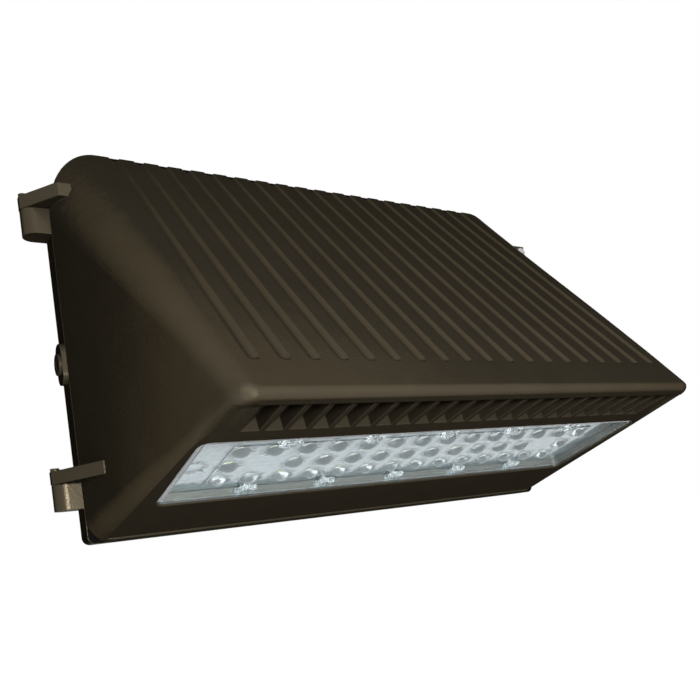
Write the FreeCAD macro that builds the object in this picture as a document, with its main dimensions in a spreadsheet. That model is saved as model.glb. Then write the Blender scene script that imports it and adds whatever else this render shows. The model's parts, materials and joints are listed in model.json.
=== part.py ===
import FreeCAD, Part
import math
import os
import Sketcher

# Wall pack light, millimetres. X runs to the right seen from the front, +Y into the wall, +Z up.
# The origin is the middle of the wall face. The hinged cover is a wedge: a long sloping top, a
# rounded nose, and an under-face that carries the light engine and looks down at the ground.

SIZES = (
    # cover casting
    ("cover_width", 360.0),
    ("cover_height", 232.0),
    ("cover_depth", 170.7),
    ("nose_drop", 66.2),
    ("side_taper", 8.5),
    ("nose_radius", 3.6),
    ("top_edge_front", 9.0),
    ("top_edge_rear", 34.0),
    ("under_edge_front", 4.5),
    ("under_edge_rear", 14.0),
    ("cover_wall", 3.0),
    ("panel_step", 1.0),
    ("panel_start", 10.5),
    ("lip_depth", 5.0),
    # grooves down the top face
    ("groove_pitch", 15.4),
    ("groove_count", 19.0),
    ("groove_radius", 4.6),
    ("groove_bite", 1.3),
    ("groove_start", 24.2),
    # saw-tooth channels between nose and window
    ("channel_pitch", 12.4),
    ("channel_count", 23.0),
    ("channel_width", 9.5),
    ("channel_bite", 7.2),
    ("channel_end", 37.3),
    ("channel_floor", 3.0),
    # window and the tub behind it
    ("window_width", 313.0),
    ("window_start", 48.0),
    ("window_end", 127.0),
    ("window_corner", 6.0),
    ("tub_depth", 10.6),
    ("tub_floor", 4.0),
    ("tub_wall", 5.0),
    ("tub_side_wall", 2.0),
    ("lead_inset", 14.0),
    ("lead_bore", 4.0),
    # light engine
    ("fit_gap", 0.3),
    ("lens_setback", 1.2),
    ("lens_rim", 4.0),
    ("optic_depth", 5.6),
    ("optic_plate", 1.8),
    ("optic_pitch_wide", 19.3),
    ("optic_pitch_deep", 18.0),
    ("optic_offset", 2.6),
    ("optic_zone_margin", 6.3),
    ("optic_zone_rise", 0.6),
    ("dome_radius", 5.2),
    ("dome_rise", 3.8),
    ("lens_gasket_thickness", 1.0),
    ("board_thickness", 1.6),
    ("board_margin", 1.0),
    ("pad_thickness", 0.5),
    ("chip_side", 3.5),
    ("chip_height", 0.8),
    ("lens_screw_pitch", 52.0),
    ("lens_screw_front_inset", 10.7),
    ("lens_screw_rear_inset", 6.0),
    ("lens_screw_bore", 2.1),
    ("lens_screw_shank", 1.5),
    ("lens_screw_length", 8.0),
    ("lens_screw_head", 2.8),
    ("lens_screw_head_height", 1.8),
    ("lens_screw_head_gap", 0.6),
    ("boss_radius", 4.2),
    ("boss_rise", 0.8),
    # back box casting
    ("wall_gasket_thickness", 1.5),
    ("box_depth", 14.5),
    ("box_wall", 3.5),
    ("box_floor", 3.0),
    ("box_top_radius", 38.0),
    ("box_bottom_radius", 4.5),
    ("gasket_inset", 0.4),
    ("gasket_corner", 2.0),
    ("wall_gasket_width", 8.0),
    ("door_gasket_width", 2.8),
    ("door_gasket_thickness", 0.9),
    # hinge
    ("hinge_out", 7.5),
    ("hinge_inset", 36.0),
    ("knuckle_radius", 7.2),
    ("knuckle_height", 15.0),
    ("ear_thickness", 7.5),
    ("ear_gap", 0.4),
    ("upper_ear_reach", 25.0),
    ("lower_ear_reach", 42.0),
    ("ear_root", 2.4),
    ("upper_ear_root", 7.0),
    ("ear_side_gap", 0.6),
    ("ear_nose", 2.0),
    ("knob_radius", 2.6),
    ("knob_out", 4.4),
    ("knob_rise", 1.8),
    ("pin_radius", 2.5),
    ("pin_gap", 0.06),
    ("pin_seat", 2.0),
    ("pin_proud", 1.0),
    # captive cover screws and their lugs
    ("latch_out", 7.5),
    ("lug_half", 7.5),
    ("lug_depth", 12.0),
    ("upper_lug_root", 6.0),
    ("latch_screw_radius", 2.5),
    ("latch_bore_gap", 0.5),
    ("latch_head_radius", 4.5),
    ("latch_head_height", 4.0),
    ("latch_grip", 8.0),
    ("latch_travel", 8.4),
    ("latch_collar_radius", 3.9),
    ("latch_collar_height", 1.2),
    ("slot_width", 1.2),
    ("slot_depth", 1.8),
    ("lug_setback", 1.0),
    # conduit hubs and plugs
    ("hub_half", 12.0),
    ("hub_corner", 6.0),
    ("hub_rise", 2.6),
    ("hub_middle", 10.0),
    ("plug_radius", 5.5),
    ("plug_length", 7.0),
    ("plug_head_radius", 6.3),
    ("plug_head_height", 1.6),
    ("plug_socket", 2.6),
    ("plug_socket_depth", 4.0),
    # wall fixings and wire entry
    ("mount_wide", 254.0),
    ("mount_high", 140.0),
    ("mount_bore", 3.5),
    ("mount_boss", 8.0),
    ("entry_radius", 11.0),
    ("entry_height", 34.0),
    ("grommet_wall", 3.0),
    ("grommet_flange", 3.0),
    ("grommet_lip", 1.6),
    ("lead_grommet_wall", 1.6),
    # posts and what stands on them
    ("post_radius", 4.5),
    ("post_height", 4.0),
    ("inner_screw_radius", 2.0),
    ("inner_head_radius", 3.6),
    ("inner_head_height", 2.2),
    ("plate_middle", 92.0),
    ("plate_wide", 140.0),
    ("plate_high", 74.0),
    ("plate_inset", 7.0),
    ("plate_thickness", 1.5),
    ("plate_screw_length", 5.5),
    ("driver_wide", 96.0),
    ("driver_high", 52.0),
    ("driver_deep", 30.0),
    ("driver_chamfer", 1.5),
    ("driver_ear", 12.0),
    ("driver_screw_length", 3.5),
    ("ear_plate", 2.0),
    ("terminal_middle", -44.0),
    ("terminal_wide", 30.0),
    ("terminal_high", 22.0),
    ("terminal_deep", 14.0),
    ("terminal_pitch", 9.0),
    ("terminal_well", 3.0),
    ("terminal_well_depth", 3.0),
    ("terminal_screw", 2.6),
    ("terminal_screw_height", 2.0),
    ("surge_middle", -112.0),
    ("surge_wide", 48.0),
    ("surge_high", 30.0),
    ("surge_deep", 20.0),
    ("surge_drop", 30.0),
    ("surge_tab", 5.0),
    ("surge_screw_bite", 2.5),
    ("ground_across", -60.0),
    ("ground_up", 44.0),
)

doc = FreeCAD.newDocument("wall_pack_light")
sheet = doc.addObject("Spreadsheet::Sheet", "sizes")


class Size:
    """A number kept together with the sheet expression that gives it."""

    def __init__(self, text, value):
        self.text = text
        self.value = value

    def joined(self, other, sign, value):
        return Size("(%s %s %s)" % (self.text, sign, as_size(other).text), value)

    def __add__(self, other):
        return self.joined(other, "+", self.value + as_size(other).value)

    def __radd__(self, other):
        return as_size(other) + self

    def __sub__(self, other):
        return self.joined(other, "-", self.value - as_size(other).value)

    def __rsub__(self, other):
        return as_size(other) - self

    def __mul__(self, other):
        return self.joined(other, "*", self.value * as_size(other).value)

    def __rmul__(self, other):
        return as_size(other) * self

    def __truediv__(self, other):
        return self.joined(other, "/", self.value / as_size(other).value)

    def __neg__(self):
        return as_size(0.0) - self


def as_size(number):
    if isinstance(number, Size):
        return number
    return Size("(%s)" % repr(float(number)), float(number))


def sine(angle):
    return Size("sin(%s)" % angle.text, math.sin(math.radians(angle.value)))


def cosine(angle):
    return Size("cos(%s)" % angle.text, math.cos(math.radians(angle.value)))


def tangent(angle):
    return Size("tan(%s)" % angle.text, math.tan(math.radians(angle.value)))


def arctangent(ratio):
    return Size("atan(%s)" % ratio.text, math.degrees(math.atan(ratio.value)))


def root(area):
    return Size("sqrt(%s)" % area.text, math.sqrt(area.value))


class Named:
    """Gives each sheet cell by its alias, as dim.cover_width."""


dim = Named()
for row, (alias, number) in enumerate(SIZES, start=1):
    sheet.set("A%d" % row, alias)
    sheet.set("B%d" % row, repr(number))
    sheet.setAlias("B%d" % row, alias)
    setattr(dim, alias, Size("sizes." + alias, number))
doc.recompute()


# ---- frames and lengths that several pieces share ----

half_width = dim.cover_width / 2
half_height = dim.cover_height / 2
box_front = -(dim.wall_gasket_thickness + dim.box_depth)
rim_y = box_front - dim.door_gasket_thickness - dim.fit_gap
nose_y = rim_y - dim.cover_depth
nose_z = -dim.nose_drop
under_angle = arctangent((half_height - dim.nose_drop) / dim.cover_depth)
top_angle = arctangent((half_height + dim.nose_drop) / dim.cover_depth)
under_length = dim.cover_depth / cosine(under_angle)
top_length = dim.cover_depth / cosine(top_angle)
hinge_x = -(half_width + dim.hinge_out)
hinge_y = -(dim.wall_gasket_thickness + dim.box_depth / 2)
latch_x = half_width + dim.latch_out
window_middle = (dim.window_start + dim.window_end) / 2
optic_middle = window_middle + dim.optic_offset
lens_screw_front = dim.window_start + dim.lens_screw_front_inset
lens_screw_rear = dim.window_end - dim.lens_screw_rear_inset
lens_wide = dim.window_width / 2 - dim.fit_gap
lens_start = dim.window_start + dim.fit_gap
lens_end = dim.window_end - dim.fit_gap
driver_ear_x = dim.driver_wide / 2 + dim.driver_ear / 2
ground_place = (dim.ground_across, dim.ground_up)
surge_screw_x = dim.surge_middle + dim.surge_wide / 2 + dim.surge_tab
surge_screw_z = -dim.surge_drop - dim.surge_high / 2
SIDES = (-1.0, 1.0)
PAST = 5.0
ROW_COUNT = 14
INNER_COUNT = 10


# ---- helpers ----

def bind(item, prop, size):
    item.setExpression(prop, as_size(size).text)


def place(item, x=0.0, y=0.0, z=0.0):
    for axis, size in (("x", x), ("y", y), ("z", z)):
        bind(item, "Placement.Base." + axis, size)


def new_body(name):
    body = doc.addObject("PartDesign::Body", name)
    body.Label = name
    return body


def sketch_on(body, name, role, out=0.0, shift=None, tilt=None):
    """A sketch on an origin plane of the body, moved out along its normal or tilted about X."""
    sketch = body.newObject("Sketcher::SketchObject", name)
    plane = [item for item in body.Origin.OriginFeatures if item.Role == role][0]
    sketch.AttachmentSupport = (plane, "")
    sketch.MapMode = "FlatFace"
    if tilt is not None:
        turn = FreeCAD.Rotation(FreeCAD.Vector(-1, 0, 0), tilt.value)
        sketch.AttachmentOffset = FreeCAD.Placement(FreeCAD.Vector(), turn)
        sketch.setExpression(".AttachmentOffset.Rotation.Angle", tilt.text)
    if shift is not None:
        sketch.setExpression(".AttachmentOffset.Base.y", shift[0].text)
        sketch.setExpression(".AttachmentOffset.Base.z", shift[1].text)
    else:
        sketch.setExpression(".AttachmentOffset.Base.z", as_size(out).text)
    return sketch


def pin_point(sketch, geometry, end, point):
    """Holds one end of a line or the centre of a circle at a point given by two sizes."""
    for kind, size in zip(("DistanceX", "DistanceY"), point):
        size = as_size(size)
        held = Sketcher.Constraint(kind, -1, 1, geometry, end, size.value)
        sketch.setExpression("Constraints[%d]" % sketch.addConstraint(held), size.text)


def polygon(sketch, points):
    """A closed outline of straight lines through the points."""
    points = [(as_size(x), as_size(y)) for x, y in points]
    first = sketch.GeometryCount
    for here, there in zip(points, points[1:] + points[:1]):
        ends = [FreeCAD.Vector(x.value, y.value, 0) for x, y in (here, there)]
        sketch.addGeometry(Part.LineSegment(ends[0], ends[1]), False)
    last = sketch.GeometryCount - 1
    for geometry in range(first, last + 1):
        following = first if geometry == last else geometry + 1
        sketch.addConstraint(Sketcher.Constraint("Coincident", geometry, 2, following, 1))
    for geometry, point in enumerate(points, start=first):
        pin_point(sketch, geometry, 1, point)


def rectangle(sketch, left, right, bottom, top):
    polygon(sketch, ((left, bottom), (right, bottom), (right, top), (left, top)))


def rounded_rectangle(sketch, left, right, bottom, top, low_radius, high_radius):
    """A rectangle with one radius on its two lower corners and another on its two upper ones."""
    low, high = as_size(low_radius), as_size(high_radius)
    left, right, bottom, top = as_size(left), as_size(right), as_size(bottom), as_size(top)
    corners = (
        ((left, bottom + low), (left + low, bottom), (left + low, bottom + low), low, 2),
        ((right - low, bottom), (right, bottom + low), (right - low, bottom + low), low, 3),
        ((right, top - high), (right - high, top), (right - high, top - high), high, 0),
        ((left + high, top), (left, top - high), (left + high, top - high), high, 1))
    first = sketch.GeometryCount
    for number, (start, end, centre, radius, quarter) in enumerate(corners):
        middle = FreeCAD.Vector(centre[0].value, centre[1].value, 0)
        turn = Part.Circle(middle, FreeCAD.Vector(0, 0, 1), radius.value)
        sketch.addGeometry(Part.ArcOfCircle(turn, quarter * math.pi / 2, (quarter + 1) * math.pi / 2), False)
        following = corners[(number + 1) % 4][0]
        ends = [FreeCAD.Vector(x.value, y.value, 0) for x, y in (end, following)]
        sketch.addGeometry(Part.LineSegment(ends[0], ends[1]), False)
    for number, (start, end, centre, radius, quarter) in enumerate(corners):
        arc = first + number * 2
        sketch.addConstraint(Sketcher.Constraint("Coincident", arc, 2, arc + 1, 1))
        sketch.addConstraint(Sketcher.Constraint("Coincident", arc + 1, 2, first + (number * 2 + 2) % 8, 1))
        pin_point(sketch, arc, 1, start)
        pin_point(sketch, arc, 2, end)
        held = Sketcher.Constraint("Radius", arc, radius.value)
        sketch.setExpression("Constraints[%d]" % sketch.addConstraint(held), radius.text)


def circle(sketch, x, y, radius):
    x, y, radius = as_size(x), as_size(y), as_size(radius)
    middle = FreeCAD.Vector(x.value, y.value, 0)
    turn = Part.Circle(middle, FreeCAD.Vector(0, 0, 1), radius.value)
    geometry = sketch.addGeometry(turn, False)
    held = Sketcher.Constraint("Radius", geometry, radius.value)
    sketch.setExpression("Constraints[%d]" % sketch.addConstraint(held), radius.text)
    pin_point(sketch, geometry, 3, (x, y))


def extrude(body, kind, sketch, length, reversed_way=False, both_ways=False):
    """A pad or a pocket of the sketch, which must add or remove volume."""
    before = body.Shape.Volume if not body.Shape.isNull() else 0.0
    feature = body.newObject("PartDesign::" + kind, sketch.Name + "_" + kind.lower())
    feature.Profile = sketch
    feature.Type = 0
    bind(feature, "Length", length)
    feature.Reversed = reversed_way
    feature.Midplane = both_ways
    sketch.Visibility = False
    doc.recompute()
    grown = body.Shape.Volume - before
    if (kind == "Pad") != (grown > 0.0) or abs(grown) < 1e-6:
        raise RuntimeError("%s changed nothing: %s" % (feature.Name, grown))
    return feature


def edges_of(feature, wanted):
    """Names of the feature's edges for which wanted(edge) holds."""
    return ["Edge%d" % n for n, edge in enumerate(feature.Shape.Edges, start=1) if wanted(edge)]


def round_edges(body, feature, wanted, radius, kind="Fillet"):
    names = edges_of(feature, wanted)
    if not names:
        raise RuntimeError("no edges to round on " + feature.Name)
    rounded = body.newObject("PartDesign::" + kind, feature.Name + "_" + kind.lower())
    rounded.Base = (feature, names)
    bind(rounded, "Radius" if kind == "Fillet" else "Size", radius)
    doc.recompute()
    return rounded


def row_of(body, feature, sketch, count, pitch):
    """Copies of the feature in one row along X, centred on the first."""
    row = body.newObject("PartDesign::LinearPattern", feature.Name + "_row")
    row.Originals = [feature]
    row.Direction = (sketch, ["H_Axis"])
    bind(row, "Length", pitch * (count - 1))
    bind(row, "Occurrences", count)
    body.Tip = row
    doc.recompute()
    return row


def near(first, second, slack=0.05):
    return abs(first - second) < slack


def under_sketch(body, name, depth=0.0):
    """A sketch level with the under-face: X across, Y from the nose to the rear, depth inward."""
    depth = as_size(depth)
    shift = (nose_y + depth * sine(under_angle), nose_z + depth * cosine(under_angle))
    return sketch_on(body, name, "XY_Plane", shift=shift, tilt=under_angle)


def place_under(item, x, along, depth):
    """Lays an item on the under-face's own axes at a distance from the nose and a depth."""
    along, depth = as_size(along), as_size(depth)
    turn = FreeCAD.Rotation(FreeCAD.Vector(-1, 0, 0), under_angle.value)
    item.Placement = FreeCAD.Placement(FreeCAD.Vector(), turn)
    bind(item, "Placement.Rotation.Angle", under_angle)
    bind(item, "Placement.Base.x", x)
    run = along * cosine(under_angle) + depth * sine(under_angle)
    rise = depth * cosine(under_angle) - along * sine(under_angle)
    bind(item, "Placement.Base.y", nose_y + run)
    bind(item, "Placement.Base.z", nose_z + rise)


def block(name, wide, deep, tall):
    item = doc.addObject("Part::Box", name)
    for prop, size in (("Length", wide), ("Width", deep), ("Height", tall)):
        bind(item, prop, size)
    return item


def rod(name, radius, height):
    item = doc.addObject("Part::Cylinder", name)
    bind(item, "Radius", radius)
    bind(item, "Height", height)
    return item


def facing(item, x, y, z, turn):
    """Puts an item at a point, turned about X so that its own Z looks along the wall's normal."""
    item.Placement = FreeCAD.Placement(FreeCAD.Vector(), FreeCAD.Rotation(FreeCAD.Vector(1, 0, 0), turn))
    place(item, x, y, z)


def fused(name, items):
    whole = doc.addObject("Part::MultiFuse", name)
    whole.Shapes = items
    return whole


def cut(name, base, tool):
    rest = doc.addObject("Part::Cut", name)
    rest.Base = base
    rest.Tool = tool
    return rest


def group_of(name, items):
    """Identical pieces that share one node, each a solid of its own."""
    group = doc.addObject("Part::Compound", name)
    group.Links = items
    group.Label = name
    return group


def lens_screw_places():
    """X across and distance from the nose of each lens screw."""
    places = []
    for along in (lens_screw_front, lens_screw_rear):
        for step in range(-2, 3):
            places.append((dim.lens_screw_pitch * step, along))
    return places


channel_span = dim.channel_pitch * (dim.channel_count - 1)
hinge_height = half_height - dim.hinge_inset
hinge_levels = (("upper", hinge_height), ("lower", -hinge_height))
ear_forms = {
    "upper": (dim.upper_ear_reach, dim.upper_ear_root),
    "lower": (dim.lower_ear_reach, dim.ear_root)}
lug_roots = {"upper": dim.upper_lug_root, "lower": dim.ear_root}
lead_x = -dim.window_width / 2 + dim.lead_inset


# ---- front cover ----

def make_blank():
    """The solid wedge, with a slim nose and corner rounds that widen towards the rear."""
    blank = new_body("cover_blank")
    side = sketch_on(blank, "cover_side", "YZ_Plane")
    polygon(side, ((rim_y, half_height), (nose_y, nose_z), (rim_y, -half_height)))
    extrude(blank, "Pad", side, dim.cover_width, both_ways=True)
    plan = sketch_on(blank, "cover_taper", "XY_Plane")
    drawn_in = (dim.cover_depth + PAST) * tangent(dim.side_taper)
    for way in SIDES:
        polygon(plan, (
            (way * half_width, rim_y),
            (way * (half_width + PAST), rim_y),
            (way * (half_width + PAST), nose_y - PAST),
            (way * (half_width - drawn_in), nose_y - PAST)))
    extrude(blank, "Pocket", plan, dim.cover_height * 2, both_ways=True)

    rounds = []
    for number, edge in enumerate(blank.Shape.Edges, start=1):
        first, last = [edge.valueAt(end) for end in edge.ParameterRange]
        if near(first.y, last.y):
            if near(first.y, nose_y.value):
                rounds.append((number, dim.nose_radius.value, dim.nose_radius.value))
            continue
        slim, broad = dim.under_edge_front.value, dim.under_edge_rear.value
        if max(first.z, last.z) > 0.0:
            slim, broad = dim.top_edge_front.value, dim.top_edge_rear.value
        rounds.append((number, slim, broad) if first.y < last.y else (number, broad, slim))
    rounded = doc.addObject("Part::Fillet", "cover_rounding")
    rounded.Base = blank
    rounded.Edges = rounds
    doc.recompute()
    return rounded


def make_cover():
    rounded = make_blank()
    body = new_body("front_cover")
    body.BaseFeature = rounded
    doc.recompute()
    soft = body.Tip
    rear = ["Face%d" % n for n, face in enumerate(soft.Shape.Faces, start=1)
            if near(face.CenterOfMass.y, rim_y.value) and near(face.BoundBox.YLength, 0.0)]
    shell = body.newObject("PartDesign::Thickness", "cover_shell")
    shell.Base = (soft, rear)
    bind(shell, "Value", dim.cover_wall)
    shell.Reversed = True
    shell.Mode = 0
    shell.Join = 0
    doc.recompute()
    add_ears(body)
    add_cover_lugs(body)
    add_tub(body)
    cut_under_face(body)
    cut_grooves(body)
    return body


def add_tub(body):
    """Thickens the under wall behind the window and the channels."""
    tub = under_sketch(body, "cover_tub", dim.cover_wall)
    half_tub = dim.window_width / 2 + dim.tub_side_wall
    rectangle(tub, -half_tub, half_tub, dim.window_start - dim.tub_wall, dim.window_end + dim.tub_wall)
    depth = dim.panel_step + dim.tub_depth + dim.tub_floor - dim.cover_wall
    extrude(body, "Pad", tub, depth)
    backing = under_sketch(body, "channel_backing", dim.cover_wall)
    half_row = channel_span / 2 + dim.channel_pitch / 2 + dim.channel_floor
    far = dim.channel_end + dim.channel_floor
    rectangle(backing, -half_row, half_row, dim.panel_start, far)
    depth = dim.panel_step + dim.channel_bite + dim.channel_floor - dim.cover_wall
    extrude(body, "Pad", backing, depth)


def cut_under_face(body):
    """Steps the under panel in between the nose roll and the rear lip, then cuts into it."""
    panel = under_sketch(body, "under_panel")
    wide = half_width + PAST
    rectangle(panel, -wide, wide, dim.panel_start, under_length - dim.lip_depth)
    extrude(body, "Pocket", panel, dim.panel_step, reversed_way=True)

    window = under_sketch(body, "window")
    half_window = dim.window_width / 2
    rounded_rectangle(window, -half_window, half_window, dim.window_start, dim.window_end,
                      dim.window_corner, dim.window_corner)
    extrude(body, "Pocket", window, dim.panel_step + dim.tub_depth, reversed_way=True)

    lead = under_sketch(body, "lead_hole")
    circle(lead, lead_x, optic_middle, dim.lead_bore)
    extrude(body, "Pocket", lead, dim.panel_step + dim.tub_depth + dim.tub_floor + PAST, reversed_way=True)

    holes = under_sketch(body, "lens_screw_holes", dim.panel_step + dim.tub_depth + dim.tub_floor)
    for x, along in lens_screw_places():
        circle(holes, x, along, dim.lens_screw_shank)
    extrude(body, "Pocket", holes, dim.tub_floor)

    channel = body.newObject("Sketcher::SketchObject", "channel")
    plane = [item for item in body.Origin.OriginFeatures if item.Role == "XZ_Plane"][0]
    channel.AttachmentSupport = (plane, "")
    channel.MapMode = "FlatFace"
    turn = FreeCAD.Rotation(FreeCAD.Vector(-1, 0, 0), under_angle.value)
    channel.AttachmentOffset = FreeCAD.Placement(FreeCAD.Vector(), turn)
    channel.setExpression(".AttachmentOffset.Rotation.Angle", under_angle.text)
    channel.setExpression(".AttachmentOffset.Base.x", (-channel_span / 2).text)
    end_y = nose_y + dim.channel_end * cosine(under_angle)
    end_z = nose_z - dim.channel_end * sine(under_angle)
    channel.setExpression(".AttachmentOffset.Base.y", end_z.text)
    channel.setExpression(".AttachmentOffset.Base.z", (-end_y).text)
    reach = dim.channel_width * (dim.panel_step / dim.channel_bite)
    polygon(channel, (
        (-dim.channel_width / 2 - reach, 0.0),
        (dim.channel_width / 2, 0.0),
        (dim.channel_width / 2, dim.panel_step + dim.channel_bite)))
    first = extrude(body, "Pocket", channel, dim.channel_end - dim.panel_start, reversed_way=True)
    row_of(body, first, channel, dim.channel_count, dim.channel_pitch)


def cut_grooves(body):
    """Long shallow grooves with round lower ends, side by side down the top face."""
    span = dim.groove_pitch * (dim.groove_count - 1)
    stand_off = dim.groove_radius - dim.groove_bite
    groove = body.newObject("Sketcher::SketchObject", "groove")
    plane = [item for item in body.Origin.OriginFeatures if item.Role == "XY_Plane"][0]
    groove.AttachmentSupport = (plane, "")
    groove.MapMode = "FlatFace"
    turn = FreeCAD.Rotation(FreeCAD.Vector(1, 0, 0), top_angle.value)
    groove.AttachmentOffset = FreeCAD.Placement(FreeCAD.Vector(), turn)
    groove.setExpression(".AttachmentOffset.Rotation.Angle", top_angle.text)
    groove.setExpression(".AttachmentOffset.Base.x", (-span / 2).text)
    groove.setExpression(".AttachmentOffset.Base.y", (nose_y - stand_off * sine(top_angle)).text)
    groove.setExpression(".AttachmentOffset.Base.z", (nose_z + stand_off * cosine(top_angle)).text)
    low = dim.groove_start
    high = top_length + PAST * 2
    radius = dim.groove_radius
    centre = FreeCAD.Vector(0, (low + radius).value, 0)
    turn = Part.Circle(centre, FreeCAD.Vector(0, 0, 1), radius.value)
    groove.addGeometry(Part.ArcOfCircle(turn, -math.pi / 2, 0.0), False)
    corners = ((radius, low + radius), (radius, high), (as_size(0.0), high), (as_size(0.0), low))
    for here, there in zip(corners, corners[1:]):
        ends = [FreeCAD.Vector(x.value, y.value, 0) for x, y in (here, there)]
        groove.addGeometry(Part.LineSegment(ends[0], ends[1]), False)
    for before, after in ((0, 1), (1, 2), (2, 3)):
        groove.addConstraint(Sketcher.Constraint("Coincident", before, 2, after, 1))
    groove.addConstraint(Sketcher.Constraint("Coincident", 3, 2, 0, 1))
    for geometry, point in ((1, corners[0]), (2, corners[1]), (3, corners[2])):
        pin_point(groove, geometry, 1, point)
    pin_point(groove, 3, 2, corners[3])
    held = Sketcher.Constraint("Radius", 0, radius.value)
    groove.setExpression("Constraints[%d]" % groove.addConstraint(held), radius.text)
    first = body.newObject("PartDesign::Groove", "groove_cut")
    first.Profile = groove
    first.ReferenceAxis = (groove, ["V_Axis"])
    first.Angle = 360.0
    groove.Visibility = False
    doc.recompute()
    row_of(body, first, groove, dim.groove_count, dim.groove_pitch)


def add_ears(body):
    """The two hinge ears, each an arm lying along the cover's left side to an eye over a knuckle."""
    for name, level in hinge_levels:
        ear = sketch_on(body, name + "_ear", "XY_Plane", out=level + dim.ear_gap)
        reach, tip_root = ear_forms[name]
        tip_y = hinge_y - reach
        tip_x = -half_width + (rim_y - tip_y) * tangent(dim.side_taper)
        inner = -half_width - dim.ear_side_gap
        polygon(ear, (
            (hinge_x - dim.knuckle_radius, hinge_y + dim.ear_nose),
            (hinge_x - dim.knuckle_radius, hinge_y - dim.ear_nose),
            (tip_x - dim.ear_side_gap, tip_y),
            (tip_x + tip_root, tip_y),
            (-half_width + dim.ear_root, rim_y),
            (inner, rim_y),
            (inner, hinge_y)))
        extrude(body, "Pad", ear, dim.ear_thickness)
        eye = sketch_on(body, name + "_eye", "XY_Plane", out=level + dim.ear_gap)
        circle(eye, hinge_x, hinge_y, dim.hinge_out - dim.ear_side_gap)
        extrude(body, "Pad", eye, dim.ear_thickness)
        knob = sketch_on(body, name + "_knob", "XY_Plane", out=level + dim.ear_gap)
        circle(knob, hinge_x - dim.knob_out, hinge_y, dim.knob_radius)
        extrude(body, "Pad", knob, dim.ear_thickness + dim.knob_rise)
        bore = sketch_on(body, name + "_bore", "XY_Plane", out=level)
        circle(bore, hinge_x, hinge_y, dim.pin_radius + dim.pin_gap)
        extrude(body, "Pocket", bore, dim.ear_thickness + PAST, reversed_way=True)


def add_cover_lugs(body):
    """Two lugs on the right side that carry the captive screws."""
    lug_front = rim_y - dim.lug_depth
    for name, level in hinge_levels:
        lug = sketch_on(body, name + "_lug", "XY_Plane", out=level - dim.lug_half)
        drawn_in = dim.lug_depth * tangent(dim.side_taper)
        polygon(lug, (
            (half_width - dim.ear_root, rim_y),
            (latch_x + dim.lug_half, rim_y),
            (latch_x + dim.lug_half, lug_front),
            (half_width - drawn_in - lug_roots[name], lug_front)))
        extrude(body, "Pad", lug, dim.lug_half * 2)
        bore = sketch_on(body, name + "_lug_bore", "XZ_Plane", out=-rim_y)
        circle(bore, latch_x, level, dim.latch_screw_radius + dim.latch_bore_gap)
        extrude(body, "Pocket", bore, dim.lug_depth + PAST, reversed_way=True)
        pocket = sketch_on(body, name + "_lug_pocket", "XZ_Plane", out=-rim_y)
        circle(pocket, latch_x, level, dim.latch_collar_radius + dim.latch_bore_gap)
        extrude(body, "Pocket", pocket, dim.latch_travel + dim.latch_collar_height, reversed_way=True)


# ---- back box ----

def make_box():
    body = new_body("back_box")
    rear = -dim.wall_gasket_thickness
    outline = sketch_on(body, "box_outline", "XZ_Plane", out=-rear)
    rounded_rectangle(outline, -half_width, half_width, -half_height, half_height,
                      dim.box_bottom_radius, dim.box_top_radius)
    extrude(body, "Pad", outline, dim.box_depth)
    inside = sketch_on(body, "box_inside", "XZ_Plane", out=-box_front)
    wide = half_width - dim.box_wall
    high = half_height - dim.box_wall
    rounded_rectangle(inside, -wide, wide, -high, high, dim.box_bottom_radius - dim.box_wall,
                      dim.box_top_radius - dim.box_wall)
    extrude(body, "Pocket", inside, dim.box_depth - dim.box_floor)
    add_knuckles(body)
    add_box_lugs(body)
    add_hubs(body)
    add_floor_bosses(body)
    return body


def add_knuckles(body):
    """The two hinge knuckles, each a half-round post standing off the left wall."""
    for name, level in hinge_levels:
        post = sketch_on(body, name + "_post", "XY_Plane", out=level - dim.knuckle_height)
        radius = dim.knuckle_radius
        circle(post, hinge_x, hinge_y, radius)
        extrude(body, "Pad", post, dim.knuckle_height)
        web = sketch_on(body, name + "_web", "XY_Plane", out=level - dim.knuckle_height)
        rectangle(web, hinge_x, -half_width + dim.box_wall / 2, hinge_y - radius, hinge_y + radius)
        extrude(body, "Pad", web, dim.knuckle_height)
        bore = sketch_on(body, name + "_post_bore", "XY_Plane", out=level)
        circle(bore, hinge_x, hinge_y, dim.pin_radius)
        extrude(body, "Pocket", bore, dim.knuckle_height - dim.pin_seat)


def add_box_lugs(body):
    """Two lugs on the right wall with the holes that the captive screws go into."""
    for name, level in hinge_levels:
        lug = sketch_on(body, name + "_box_lug", "XY_Plane", out=level - dim.lug_half)
        inside = half_width - dim.box_wall / 2
        rear = -(dim.wall_gasket_thickness + dim.lug_setback)
        rectangle(lug, inside, latch_x + dim.lug_half, box_front, rear)
        extrude(body, "Pad", lug, dim.lug_half * 2)
        bore = sketch_on(body, name + "_box_lug_bore", "XZ_Plane", out=-box_front)
        circle(bore, latch_x, level, dim.latch_screw_radius + dim.latch_bore_gap)
        extrude(body, "Pocket", bore, dim.box_depth)


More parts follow.
